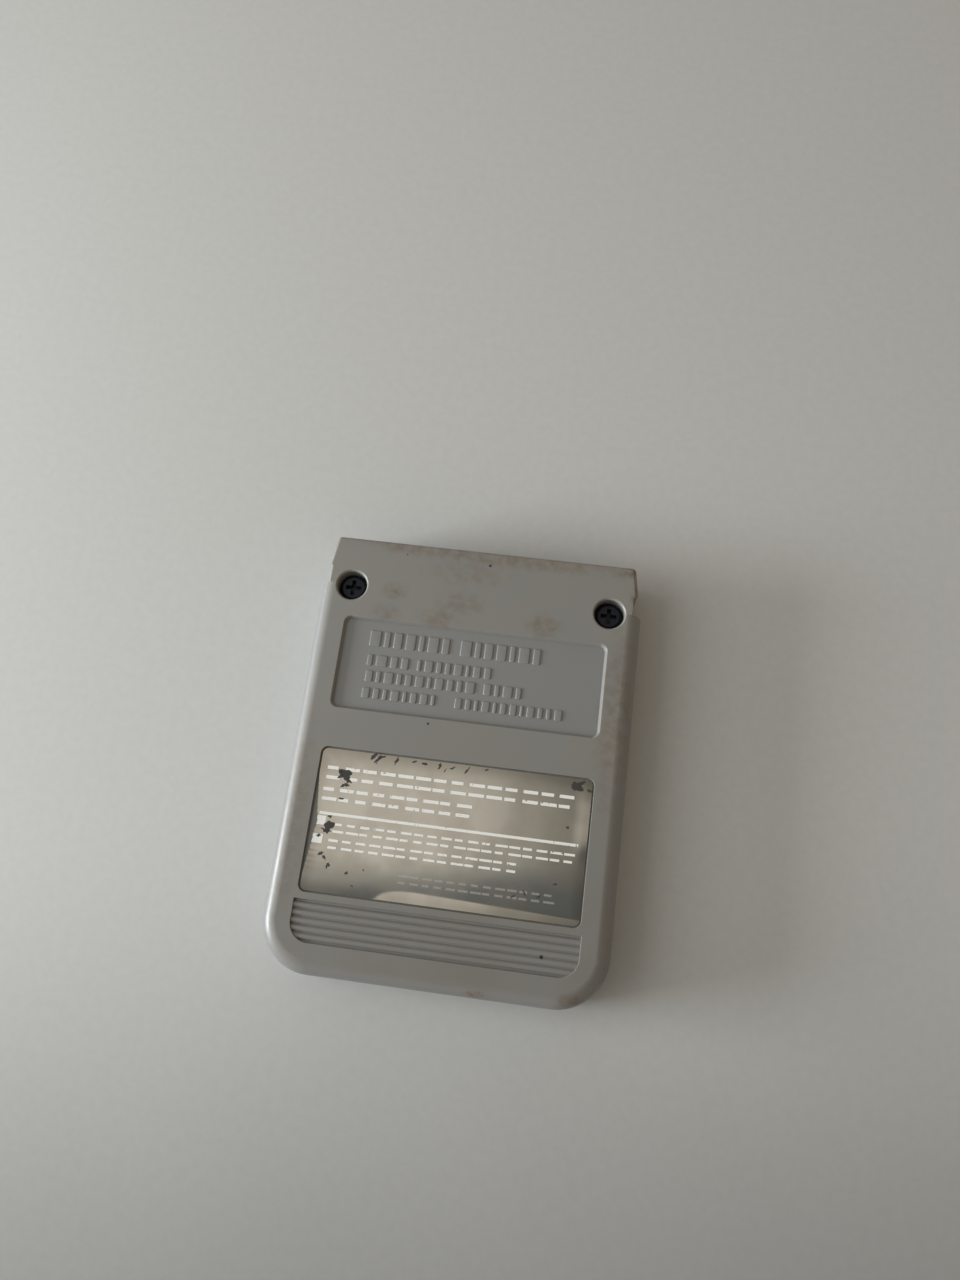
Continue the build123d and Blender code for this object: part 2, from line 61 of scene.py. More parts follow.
def gridQuads(rows, columns, wrap=False):
    # quads between neighbouring points of a grid; wrap joins the last column to the first
    columnCount = columns if wrap else columns - 1
    row, column = np.meshgrid(np.arange(rows - 1), np.arange(columnCount), indexing="ij")
    nextColumn = (column + 1) % columns
    corners = (row * columns + column, row * columns + nextColumn,
               (row + 1) * columns + nextColumn, (row + 1) * columns + column)
    return np.stack(corners, axis=-1).reshape(-1, 4)


def closedStack(rings):
    # rings of points, one above the other, closed by a flat cap at both ends
    count, around = rings.shape[:2]
    faces = gridQuads(count, around, wrap=True).tolist()
    faces.append(list(range(around)))
    faces.append(list(range((count - 1) * around, count * around)))
    return rings.reshape(-1, 3), faces


def joined(stacks):
    # several closed stacks as one list of points and one of faces
    points = np.concatenate([part[0] for part in stacks])
    starts = np.cumsum([0] + [len(part[0]) for part in stacks])
    faces = [[start + corner for corner in face]
             for start, part in zip(starts, stacks) for face in part[1]]
    return points, faces


def putPiece(name, points, faces, material, slotName):
    # points in millimetres; faces are turned outward, and the piece rides on the card
    mesh = bpy.data.meshes.new(name)
    mesh.from_pydata((points * mm).tolist(), [], faces)
    work = bmesh.new()
    work.from_mesh(mesh)
    bmesh.ops.recalc_face_normals(work, faces=work.faces)
    work.to_mesh(mesh)
    work.free()
    mesh.materials.append(material)
    mesh.shade_smooth()
    mesh.set_sharp_from_angle(angle=math.radians(softLook["sharpFrom"]))
    piece = bpy.data.objects.new(name, mesh)
    bpy.context.collection.objects.link(piece)
    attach(piece, "root")
    print(name, len(mesh.polygons), "faces")
    return piece


def nodeBox(name):
    # lowest and highest corner of a node of the frame, in millimetres
    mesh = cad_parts[name].data
    corners = np.empty((len(mesh.vertices), 3), dtype=np.float32)
    mesh.vertices.foreach_get("co", corners.ravel())
    corners = corners.astype(float) / mm
    return corners.min(axis=0), corners.max(axis=0)


# Node helpers

nodeLook = {
    "perRow": 12,
    "stepAcross": 190,
    "stepDown": -260,
}


def put(tree, kind, feeds, **settings):
    # one shader node; a feed is a value for a socket or another node's output
    node = tree.nodes.new("ShaderNode" + kind)
    row, column = divmod(len(tree.nodes), nodeLook["perRow"])
    node.location = (nodeLook["stepAcross"] * column, nodeLook["stepDown"] * row)
    for key, value in settings.items():
        setattr(node, key, value)
    for key, value in feeds.items():
        if isinstance(value, bpy.types.NodeSocket):
            tree.links.new(value, node.inputs[key])
        else:
            node.inputs[key].default_value = value
    return node


def calc(tree, operation, *terms):
    return put(tree, "Math", dict(enumerate(terms)), operation=operation).outputs[0]


def calcVector(tree, operation, *terms):
    return put(tree, "VectorMath", dict(enumerate(terms)), operation=operation).outputs[0]


def scaled(tree, vector, factor):
    return put(tree, "VectorMath", {0: vector, "Scale": factor}, operation="SCALE").outputs[0]


def strongest(tree, masks):
    total = masks[0]
    for mask in masks[1:]:
        total = calc(tree, "MAXIMUM", total, mask)
    return total


def blendColour(tree, amount, first, second):
    return put(tree, "Mix", {0: amount, 6: first, 7: second}, data_type="RGBA").outputs[2]


def span(tree, value, low, high, toLow=0.0, toHigh=1.0):
    # soft step from toLow to toHigh while the value goes from low to high
    feeds = {0: value, 1: low, 2: high, 3: toLow, 4: toHigh}
    return put(tree, "MapRange", feeds, interpolation_type="SMOOTHSTEP").outputs[0]


def noise(tree, place, perMm, detail=3.0, rough=0.55):
    feeds = {"Vector": place, "Scale": perMm, "Detail": detail, "Roughness": rough}
    return put(tree, "TexNoise", feeds).outputs["Fac"]


def newMaterial(name):
    material = bpy.data.materials.new(name)
    material.use_nodes = True
    tree = material.node_tree
    return material, tree, tree.nodes["Principled BSDF"]


def placeInMm(tree):
    return scaled(tree, put(tree, "TexCoord", {}).outputs["Object"], 1 / mm)


def putBump(tree, shader, height, depth):
    # depth in millimetres
    feeds = {"Height": height, "Distance": depth * mm, "Strength": 1.0}
    tree.links.new(put(tree, "Bump", feeds).outputs[0], shader.inputs["Normal"])


def newGroup(name, inputs, outputs):
    group = bpy.data.node_groups.new(name, "ShaderNodeTree")
    for label, kind, value in inputs:
        socket = group.interface.new_socket(name=label, in_out="INPUT", socket_type=kind)
        if value is not None:
            socket.default_value = value
    for label, kind in outputs:
        group.interface.new_socket(name=label, in_out="OUTPUT", socket_type=kind)
    entry = group.nodes.new("NodeGroupInput")
    leave = group.nodes.new("NodeGroupOutput")
    return group, entry.outputs, leave.inputs


def putGroup(tree, group, feeds):
    return put(tree, "Group", feeds, node_tree=group).outputs


# Shared effects

grainLook = {
    "detail": 2.0,
    "wideShare": 0.5,
    "tone": (0.3, 0.7),  # most of the wide noise lies between these
}


def makeGrainGroup():
    # spark-eroded mould grain: fine noise over a softer, wider unevenness
    group, given, out = newGroup(
        "mouldGrain",
        [("Place", "NodeSocketVector", None), ("Grain", "NodeSocketFloat", 6.0),
         ("Wide", "NodeSocketFloat", 0.2)],
        [("Height", "NodeSocketFloat"), ("Tone", "NodeSocketFloat")])
    fine = noise(group, given["Place"], given["Grain"], grainLook["detail"])
    wide = noise(group, given["Place"], given["Wide"], grainLook["detail"])
    height = calc(group, "MULTIPLY_ADD", wide, grainLook["wideShare"], fine)
    group.links.new(height, out["Height"])
    group.links.new(wide, out["Tone"])
    return group


def makeSpotGroup():
    # ellipse with a soft, ragged rim: distance from the centre in half axes, pushed by noise
    group, given, out = newGroup(
        "softSpot",
        [("Place", "NodeSocketVector", None), ("Centre", "NodeSocketVector", None),
         ("Half", "NodeSocketVector", (1, 1, 1)), ("Soft", "NodeSocketFloat", 0.4),
         ("Push", "NodeSocketFloat", 0.0), ("Strength", "NodeSocketFloat", 1.0)],
        [("Mask", "NodeSocketFloat")])
    away = calcVector(group, "DIVIDE",
                      calcVector(group, "SUBTRACT", given["Place"], given["Centre"]), given["Half"])
    reach = put(group, "VectorMath", {0: away}, operation="LENGTH").outputs["Value"]
    reach = calc(group, "ADD", reach, given["Push"])
    low = calc(group, "SUBTRACT", 1.0, given["Soft"])
    high = calc(group, "ADD", 1.0, given["Soft"])
    inside = span(group, reach, low, high, 1.0, 0.0)
    group.links.new(calc(group, "MULTIPLY", inside, given["Strength"]), out["Mask"])
    return group


def makeFieldGroup():
    # distance in mm from the outline of a rounded rectangle, seen from above; inside is negative
    group, given, out = newGroup(
        "fieldEdge",
        [("Place", "NodeSocketVector", None), ("Centre", "NodeSocketVector", None),
         ("Half", "NodeSocketVector", (1, 1, 0)), ("Corner", "NodeSocketFloat", 1.0)],
        [("Distance", "NodeSocketFloat")])
    away = calcVector(group, "ABSOLUTE", calcVector(group, "SUBTRACT", given["Place"], given["Centre"]))
    parts = put(group, "SeparateXYZ", {0: calcVector(group, "SUBTRACT", away, given["Half"])}).outputs
    overX = calc(group, "ADD", parts[0], given["Corner"])
    overY = calc(group, "ADD", parts[1], given["Corner"])
    outside = put(group, "CombineXYZ", {0: calc(group, "MAXIMUM", overX, 0.0),
                                        1: calc(group, "MAXIMUM", overY, 0.0)}).outputs[0]
    reach = put(group, "VectorMath", {0: outside}, operation="LENGTH").outputs["Value"]
    inside = calc(group, "MINIMUM", calc(group, "MAXIMUM", overX, overY), 0.0)
    total = calc(group, "SUBTRACT", calc(group, "ADD", reach, inside), given["Corner"])
    group.links.new(total, out["Distance"])
    return group


grainGroup = makeGrainGroup()
spotGroup = makeSpotGroup()
fieldGroup = makeFieldGroup()
print("shared effects:", len(bpy.data.node_groups))


# Cover plastic: warm grey, yellowed where hands reach, cleaner in the recesses; painted shade darkens it
# towards the grip end, and grime with painted shade darkens the recess rims and grip grooves

coverLook = {
    "clean": (0.246, 0.248, 0.244, 1),
    "handled": (0.262, 0.252, 0.226, 1),
    "stain": (0.178, 0.128, 0.088, 1),
    # colour of the painted shade towards the grip end
    "lowEndShade": (0.205, 0.192, 0.176, 1),
    # colour of grime and painted shade in the recesses and grooves, and of the dark joint at the seam
    "grimeAndShade": (0.060, 0.050, 0.038, 1),
    "speck": (0.020, 0.017, 0.014, 1),
    "roughness": (0.33, 0.43),
    "grimeRoughness": 0.25,
    "grainPerMm": 7.0,
    "widePerMm": 0.12,
    "grainDepth": 0.006,
    # cloudy noise, per mm and detail, and how far it pushes the rims of spots
    "cloud": (0.7, 4.0),
    "cloudPush": 1.6,
    "faceZ": 8.0,
    "seamZ": 4.0,
    # where hands reach, by height, and painted shade that darkens the face towards the grip end, by length
    # along the card: from and to, and the strength at both
    "handledZ": (7.55, 7.95, 0.2, 1.0),
    "lowEndShadeY": (-28.0, 12.0, 0.8, 0.0),
    "handledTone": (0.45, 1.0),
    "spotDepth": 1.2,
    "stainSoft": 0.75,
    "speckSoft": 0.35,
    "speckStrength": 0.9,
    # brownish marks on the face: place, half size and strength
    "stains": (
        ((-11.1, 20.7), (1.3, 0.9), 0.32),
        ((-12.0, 17.7), (1.5, 1.0), 0.24),
        ((-4.7, 17.7), (2.0, 1.1), 0.28),
        ((-2.4, 20.0), (2.6, 1.3), 0.22),
        ((8.8, 18.2), (1.8, 1.3), 0.30),
        ((-1.7, 24.2), (4.5, 1.6), 0.16),
        ((-10.7, 26.9), (3.4, 0.8), 0.32),
        ((9.2, 27.1), (3.6, 0.7), 0.32),
        ((19.0, 26.9), (1.3, 0.8), 0.50),
        ((19.9, 23.3), (0.6, 1.8), 0.45),
        ((18.6, 7.5), (1.6, 9.5), 0.25),
        ((-19.0, -10.0), (1.4, 9.0), 0.20),
        ((5.7, -27.1), (1.1, 0.5), 0.70),
        ((16.9, -26.4), (1.3, 0.7), 0.50),
        ((3.0, 26.8), (15.0, 1.0), 0.30),
    ),
    # noise that breaks the stains up: per mm, detail and roughness
    "mottle": (0.85, 4.0, 0.65),
    "mottleSpan": (0.36, 0.64, 0.35, 2.0),
    # dark specks: place and radius
    "specks": (
        ((0.8, 25.6), 0.16),
        ((-4.3, 3.9), 0.14),
        ((12.8, -21.8), 0.2),
        ((-10.2, 25.9), 0.09),
    ),
    # fields: centre, half size and corner
    "panel": ((0.0, 10.7), (17.0, 6.1), 1.0),
    "labelRecess": ((0.0, -9.235), (17.0, 8.835), 0.9),
    # grime and painted shade round the fields: inset from the outline, reach, height that it stays under
    # and strength
    "panelRimGrimeAndShade": (0.29, 0.28, 7.7, 0.08),
    "labelRimGrimeAndShade": (0.0, 0.45, 7.9, 0.40),
    "rimSoft": 0.1,
    "gripY": (-23.9, -18.8),
    "gripSoft": 0.2,
    # spans of height, distance and noise, from and to, and the strength at both
    "gripGrimeAndShade": (7.58, 7.68, 0.08, 0.0),
    "seamGrime": (0.04, 0.14, 0.55, 0.0),
    "grimeCloud": (-0.25, 0.1, 0.55, 1.0),
}


def makeCoverPlastic():
    material, tree, shader = newMaterial("coverPlastic")
    place = placeInMm(tree)
    grain = putGroup(tree, grainGroup, {"Place": place, "Grain": coverLook["grainPerMm"],
                                        "Wide": coverLook["widePerMm"]})
    y, z = put(tree, "SeparateXYZ", {0: place}).outputs[1:]
    cloud = calc(tree, "SUBTRACT", noise(tree, place, *coverLook["cloud"]), 0.5)
    push = calc(tree, "MULTIPLY", cloud, coverLook["cloudPush"])

    def spot(centre, half, soft, strength):
        feeds = {"Place": place, "Centre": (*centre, coverLook["faceZ"]),
                 "Half": (*half, coverLook["spotDepth"]), "Soft": soft, "Push": push,
                 "Strength": strength}
        return putGroup(tree, spotGroup, feeds)["Mask"]

    def rim(field, inset, reach, under, strength):
        # band on both sides of a rounded rectangle's outline, only below a height
        centre, half, corner = field
        feeds = {"Place": place, "Centre": (*centre, 0), "Half": (half[0] - inset, half[1] - inset, 0),
                 "Corner": corner}
        away = calc(tree, "ABSOLUTE", putGroup(tree, fieldGroup, feeds)["Distance"])
        band = calc(tree, "MULTIPLY", span(tree, away, 0.0, reach, 1.0, 0.0),
                    span(tree, z, under - coverLook["rimSoft"], under, 1.0, 0.0))
        return calc(tree, "MULTIPLY", band, strength)

    handled = calc(tree, "MULTIPLY", span(tree, z, *coverLook["handledZ"]),
                   span(tree, grain["Tone"], *grainLook["tone"], *coverLook["handledTone"]))
    colour = blendColour(tree, handled, coverLook["clean"], coverLook["handled"])
    # painted shade: the face is darkened towards the grip end
    shadeTowardsGrip = calc(tree, "MULTIPLY", span(tree, y, *coverLook["lowEndShadeY"]), handled)
    colour = blendColour(tree, shadeTowardsGrip, colour, coverLook["lowEndShade"])
    stains = strongest(tree, [spot(centre, half, coverLook["stainSoft"], strength)
                              for centre, half, strength in coverLook["stains"]])
    mottle = span(tree, noise(tree, place, *coverLook["mottle"]), *coverLook["mottleSpan"])
    colour = blendColour(tree, calc(tree, "MULTIPLY", stains, mottle), colour, coverLook["stain"])
    low, high = coverLook["gripY"]
    inGrip = calc(tree, "MULTIPLY", span(tree, y, low - coverLook["gripSoft"], low),
                  span(tree, y, high, high + coverLook["gripSoft"], 1.0, 0.0))
    fromSeam = calc(tree, "ABSOLUTE", calc(tree, "SUBTRACT", z, coverLook["seamZ"]))
    # grime and painted shade: darker round the recess rims and in the grip grooves; the line at the seam
    # is a dark joint
    grimeAndShade = strongest(tree, [
        rim(coverLook["labelRecess"], *coverLook["labelRimGrimeAndShade"]),
        rim(coverLook["panel"], *coverLook["panelRimGrimeAndShade"]),
        calc(tree, "MULTIPLY", inGrip, span(tree, z, *coverLook["gripGrimeAndShade"])),
        span(tree, fromSeam, *coverLook["seamGrime"]),
    ])
    grimeAndShade = calc(tree, "MULTIPLY", grimeAndShade, span(tree, cloud, *coverLook["grimeCloud"]))
    colour = blendColour(tree, grimeAndShade, colour, coverLook["grimeAndShade"])
    specks = strongest(tree, [
        spot(centre, (radius, radius), coverLook["speckSoft"], coverLook["speckStrength"])
        for centre, radius in coverLook["specks"]
    ])
    colour = blendColour(tree, specks, colour, coverLook["speck"])
    tree.links.new(colour, shader.inputs["Base Color"])
    polished = span(tree, grain["Tone"], *grainLook["tone"], *coverLook["roughness"])
    rough = calc(tree, "MULTIPLY_ADD", grimeAndShade, coverLook["grimeRoughness"], polished)
    tree.links.new(rough, shader.inputs["Roughness"])
    putBump(tree, shader, grain["Height"], coverLook["grainDepth"])
    return material


# Label foil: silver film with rows of plain white dashes, a rule and two squares

labelLook = {
    "foil": (0.80, 0.775, 0.715, 1),
    "tarnish": (0.74, 0.705, 0.64, 1),
    "ink": (0.95, 0.94, 0.90, 1),
    "faded": (0.36, 0.36, 0.35, 1),
    "film": (0.50, 0.46, 0.40, 1),
    "field": ((0.0, -9.235), (16.8, 8.635), 0.7),
    # darker film along the edge: span from the outline and its strength, and the push of the tone
    "filmEdge": (-1.4, 0.4, 0.0, 0.6),
    "filmPush": 0.8,
    "tarnishTone": (0.35, 0.7),
    "roughness": (0.07, 0.12),
    "inkRoughness": 0.55,
    "grainPerMm": 6.0,
    "widePerMm": 0.22,
    "grainDepth": 0.0003,
    # solid print: centre and half size of the rule and the two squares
    "solids": (
        ((-0.1, -8.57), (15.9, 0.17)),
        ((-15.58, -9.45), (0.52, 0.55)),
        ((-15.75, -11.65), (0.65, 0.55)),
    ),
    # rows of dashes: height, half the distance of its two lines, thickness, start, cells and pitch
    "rows": (
        (-3.55, 0.60, 0.40, -15.9, 14, 2.22),
        (-6.2, 0.58, 0.40, -16.0, 9, 2.08),
        (-10.2, 0.43, 0.28, -14.0, 18, 1.66),
        (-12.15, 0.43, 0.28, -14.3, 14, 1.68),
    ),
    "fadedRows": ((-15.2, 0.40, 0.26, -5.2, 13, 1.46),),
    "fadedShare": 0.4,
    "dashShare": (0.58, 0.92),
    "dashSoft": 0.03,
    "secondLine": 0.31,  # tells the two lines of a row apart in the random draw
    "corner": 0.06,
    # noise, per mm and detail, that wears the print away
    "wear": (1.9, 5.0),
    "wearSpan": (0.30, 0.37),
}


def makeLabelFoil():
    material, tree, shader = newMaterial("labelFoil")
    place = placeInMm(tree)
    grain = putGroup(tree, grainGroup, {"Place": place, "Grain": labelLook["grainPerMm"],
                                        "Wide": labelLook["widePerMm"]})
    x, y = put(tree, "SeparateXYZ", {0: place}).outputs[:2]
    soft = labelLook["dashSoft"]

    def fromOutline(centre, half, corner):
        feeds = {"Place": place, "Centre": (*centre, 0), "Half": (*half, 0), "Corner": corner}
        return putGroup(tree, fieldGroup, feeds)["Distance"]

    def solid(centre, half):
        return span(tree, fromOutline(centre, half, labelLook["corner"]), -soft, soft, 1.0, 0.0)

    def dashes(height, apart, thick, left, cells, pitch):
        # two broken lines: each cell of the row is filled from its start to a random share
        over = calc(tree, "SUBTRACT", y, height)
        away = calc(tree, "ABSOLUTE", calc(tree, "SUBTRACT", calc(tree, "ABSOLUTE", over), apart))
        line = span(tree, away, thick / 2 - soft, thick / 2 + soft, 1.0, 0.0)
        cell = calc(tree, "DIVIDE", calc(tree, "SUBTRACT", x, left), pitch)
        seed = calc(tree, "MULTIPLY_ADD", calc(tree, "SIGN", over), labelLook["secondLine"],
                    calc(tree, "FLOOR", cell))
        draw = put(tree, "TexWhiteNoise", {"W": calc(tree, "ADD", seed, height)},
                   noise_dimensions="1D").outputs["Value"]
        share = span(tree, draw, 0.0, 1.0, *labelLook["dashShare"])
        along = calc(tree, "MULTIPLY", calc(tree, "SUBTRACT", share, calc(tree, "FRACT", cell)), pitch)
        within = calc(tree, "MULTIPLY", calc(tree, "GREATER_THAN", cell, 0.0),
                      calc(tree, "LESS_THAN", cell, cells))
        return calc(tree, "MULTIPLY", calc(tree, "MULTIPLY", line, span(tree, along, -soft, soft)), within)

    kept = span(tree, noise(tree, place, *labelLook["wear"]), *labelLook["wearSpan"])
    prints = [solid(*field) for field in labelLook["solids"]]
    prints += [dashes(*row) for row in labelLook["rows"]]
    ink = calc(tree, "MULTIPLY", strongest(tree, prints), kept)
    faded = strongest(tree, [dashes(*row) for row in labelLook["fadedRows"]])
    faded = calc(tree, "MULTIPLY", faded, calc(tree, "MULTIPLY", kept, labelLook["fadedShare"]))
    tarnish = span(tree, grain["Tone"], *labelLook["tarnishTone"])
    foil = blendColour(tree, tarnish, labelLook["foil"], labelLook["tarnish"])
    fromEdge = calc(tree, "MULTIPLY_ADD", grain["Tone"], labelLook["filmPush"],
                    fromOutline(*labelLook["field"]))
    foil = blendColour(tree, span(tree, fromEdge, *labelLook["filmEdge"]), foil, labelLook["film"])
    foil = blendColour(tree, faded, foil, labelLook["faded"])
    tree.links.new(blendColour(tree, ink, foil, labelLook["ink"]), shader.inputs["Base Color"])
    film = span(tree, grain["Tone"], *grainLook["tone"], *labelLook["roughness"])
    rough = put(tree, "Mix", {0: ink, 2: film, 3: labelLook["inkRoughness"]}).outputs[0]
    tree.links.new(rough, shader.inputs["Roughness"])
    metal = calc(tree, "SUBTRACT", 1.0, calc(tree, "MAXIMUM", ink, faded))
    tree.links.new(metal, shader.inputs["Metallic"])
    putBump(tree, shader, grain["Height"], labelLook["grainDepth"])
    return material


# Plain finishes for the screws and for what lies inside

plainLook = {
    "widePerMm": 0.3,
    "darker": 0.82,
    "grainSpan": (0.4, 1.1),
    "roughnessSpread": 0.06,
    # colour, roughness, metallic, grain per mm and depth of the grain in mm
    "finishes": {
        "flakeDark": ((0.054, 0.049, 0.045), 0.75, 0.0, 9.0, 0.004),
        "chipPlastic": ((0.025, 0.025, 0.026), 0.6, 0.0, 8.0, 0.004),
        "leadTin": ((0.72, 0.72, 0.70), 0.32, 1.0, 6.0, 0.001),
        "contactMetal": ((0.72, 0.55, 0.28), 0.3, 1.0, 6.0, 0.001),
        "screwBlack": ((0.014, 0.017, 0.029), 0.42, 0.3, 9.0, 0.004),
        "boardGreen": ((0.03, 0.12, 0.05), 0.4, 0.0, 5.0, 0.002),
        "contactPlastic": ((0.03, 0.03, 0.032), 0.5, 0.0, 7.0, 0.004),
        "resonatorCan": ((0.66, 0.64, 0.58), 0.28, 1.0, 5.0, 0.001),
        "capacitorMoulding": ((0.62, 0.36, 0.07), 0.5, 0.0, 7.0, 0.004),
        "chipCeramic": ((0.50, 0.38, 0.25), 0.55, 0.0, 9.0, 0.003),
        "resistorCeramic": ((0.05, 0.05, 0.052), 0.45, 0.0, 9.0, 0.003),
    },
}


def makePlain(name, colour, roughness, metallic, grainPerMm, depth):
    # even finish with a little grain and unevenness of tone
    material, tree, shader = newMaterial(name)
    feeds = {"Place": placeInMm(tree), "Grain": grainPerMm, "Wide": plainLook["widePerMm"]}
    grain = putGroup(tree, grainGroup, feeds)
    darker = tuple(plainLook["darker"] * part for part in colour) + (1,)
    tone = span(tree, grain["Tone"], *grainLook["tone"])
    tree.links.new(blendColour(tree, tone, darker, colour + (1,)), shader.inputs["Base Color"])
    spread = plainLook["roughnessSpread"]
    rough = span(tree, grain["Height"], *plainLook["grainSpan"], roughness - spread, roughness + spread)
    tree.links.new(rough, shader.inputs["Roughness"])
    shader.inputs["Metallic"].default_value = metallic
    putBump(tree, shader, grain["Height"], depth)
    return material


coverPlastic = makeCoverPlastic()
labelFoil = makeLabelFoil()
finishes = {name: makePlain(name, *values) for name, values in plainLook["finishes"].items()}
nodeLooks = {
    "rear_cover": coverPlastic,
    "front_cover": coverPlastic,
    "rear_label": labelFoil,
    "cover_screws": finishes["screwBlack"],
    "circuit_board": finishes["boardGreen"],
    "contact_block": finishes["contactPlastic"],
    "controller_chip": finishes["chipPlastic"],
    "memory_chip": finishes["chipPlastic"],
    "protection_diode": finishes["chipPlastic"],
    "controller_leads": finishes["leadTin"],
    "memory_leads": finishes["leadTin"],
    "resonator": finishes["resonatorCan"],
    "supply_capacitor": finishes["capacitorMoulding"],
    "chip_capacitors": finishes["chipCeramic"],
    "chip_resistors": finishes["resistorCeramic"],
}
for name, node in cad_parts.items():
    isBlade = name.startswith("contact_blade")
    node.material_slots[0].material = finishes["contactMetal"] if isBlade else nodeLooks[name]
print("materials:", len(bpy.data.materials))


# Covers and screws: the solids' own shape, with the corners that a mould leaves slightly round

def softenedCopy(nodeName, pieceName, width, boreWidth):
    # the node's mesh, merged, its flat faces joined again, and its outside corners rounded off
    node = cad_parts[nodeName]
    work = bmesh.new()
    work.from_mesh(node.data)
    bmesh.ops.remove_doubles(work, verts=work.verts, dist=softLook["merge"] * mm)
    bmesh.ops.dissolve_limit(work, angle_limit=math.radians(softLook["flat"]), verts=work.verts,
                             edges=work.edges, delimit={"NORMAL"})
    sharp = math.radians(softLook["sharpFrom"])
    low, high = softLook["hollow"]
    corners, boreCorners = [], []
    for edge in work.edges:
        middle = (edge.verts[0].co + edge.verts[1].co) / (2 * mm)
        buried = all(a < c < b for a, c, b in zip(low, middle, high))
        atBore = any(math.dist(middle[:2], centre) < softLook["boreReach"]
                     for centre in softLook["boreCentres"])
        if edge.is_convex and edge.calc_face_angle() > sharp and not buried:
            (boreCorners if atBore else corners).append(edge)
    for edges, offset in ((boreCorners, boreWidth), (corners, width)):
        bmesh.ops.bevel(work, geom=edges, offset=offset * mm, offset_type="OFFSET",
                        segments=softLook["steps"], profile=0.5, affect="EDGES", clamp_overlap=False,
                        miter_outer="ARC", miter_inner="SHARP", spread=offset * mm)
    for edge in work.edges:
        edge.smooth = len(edge.link_faces) == 2 and edge.calc_face_angle() < sharp
    for face in work.faces:
        face.smooth = True
    mesh = bpy.data.meshes.new(pieceName)
    work.to_mesh(mesh)
    work.free()
    if "custom_normal" in mesh.attributes:
        mesh.attributes.remove(mesh.attributes["custom_normal"])
    mesh.materials.append(node.material_slots[0].material)
    piece = bpy.data.objects.new(pieceName, mesh)
    bpy.context.collection.objects.link(piece)
    even = piece.modifiers.new("evenShading", "WEIGHTED_NORMAL")
    even.keep_sharp = True
    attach(piece, "root")
    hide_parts(nodeName)
    print(pieceName, len(corners) + len(boreCorners), "corners rounded,", len(mesh.polygons), "faces")


softenedCopy("rear_cover", "rearShell", softLook["covers"], softLook["bores"])
softenedCopy("front_cover", "frontShell", softLook["covers"], softLook["bores"])
softenedCopy("cover_screws", "screws", softLook["screws"], softLook["screws"])


# Label: a sheet of foil, wavy, torn on the left and lifted along its low edge

sheetLook = {
    "corner": 0.7,
    "rows": 170,
    "columns": 70,
    "tearFrom": -3.8,
    "tearTo": -15.8,
    "tearDepth": 0.75,
    "tearShares": (0, 0.25, 0.5, 0.58, 0.74, 1),
    "tearInsets": (0, 0.45, 1, 0.75, 0.55, 0),
    "ragged": 0.035,
    # bites out of the tear: turn per mm, start and strength, and how soon they grow with the inset
    "bites": ((9.1, 0.0, 1.0), (17.3, 1.1, 0.7), (31.7, 0.4, 0.5)),
    "biteGrowth": 3,
    "wave": 0.004,
    "longWave": (0.42, 0.9, 0.31),  # turn per mm across, start, and turn per mm along
    "slantWave": (0.6, 0.23, 0.55),  # strength, turn per mm across and along
    "waveMean": 1.6,
    "lipHeight": 1.45,
    "lipTaper": 0.021,
    "lipSoft": 0.10,
    "lipSlope": 0.040,
    "lipStart": -7.5,
    "lipRun": 1.3,
    "curl": 0.018,
    "curlReach": 0.7,
    "sideFrom": 15.3,
    "sideSoft": 0.2,
    "sideSlope": 0.048,
    "sideAt": -5.5,
    "sideHalf": 4.0,
    "sidePower": 4,
}
labelLow, labelHigh = nodeBox("rear_label")


def leftEdge(y):
    # the torn edge: an inset interpolated between its knees, with short ragged bites
    down = (y - sheetLook["tearFrom"]) / (sheetLook["tearTo"] - sheetLook["tearFrom"])
    inset = np.interp(down, sheetLook["tearShares"], sheetLook["tearInsets"], 0, 0)
    bites = sum(strength * np.sin(turn * y + start) for turn, start, strength in sheetLook["bites"])
    grown = np.minimum(1, sheetLook["biteGrowth"] * inset)
    return labelLow[0] + sheetLook["tearDepth"] * inset + sheetLook["ragged"] * bites * grown


def softRamp(reach, slope, soft):
    # level, then rising by the slope, with a smooth bend where the reach passes zero
    return slope * (np.hypot(reach, soft) + reach) / 2


def labelRise(x, y):
    # how far the foil stands off its bed: slow waves, lips along the low and right edges, a curled tear
    turnX, start, turnY = sheetLook["longWave"]
    waves = np.sin(turnX * x + start) * np.sin(turnY * y)
    strength, turnX, turnY = sheetLook["slantWave"]
    waves = (waves + strength * np.sin(turnX * x - turnY * y) + sheetLook["waveMean"]) / 2
    grown = 1 - np.exp((sheetLook["lipStart"] - x) / sheetLook["lipRun"])
    tapered = 1 - sheetLook["lipTaper"] * (x - sheetLook["lipStart"])
    reach = labelLow[1] + sheetLook["lipHeight"] * tapered * np.maximum(grown, -1) - y
    lip = softRamp(reach, sheetLook["lipSlope"], sheetLook["lipSoft"])
    edge = leftEdge(y)
    torn = np.clip((edge - labelLow[0]) / sheetLook["tearDepth"], 0, 1)
    curl = sheetLook["curl"] * torn * np.exp(-(x - edge) / sheetLook["curlReach"])
    side = softRamp(x - sheetLook["sideFrom"], sheetLook["sideSlope"], sheetLook["sideSoft"])
    along = (y - sheetLook["sideAt"]) / sheetLook["sideHalf"]
    side = side * np.exp(-along ** sheetLook["sidePower"])
    return sheetLook["wave"] * waves + lip + curl + side


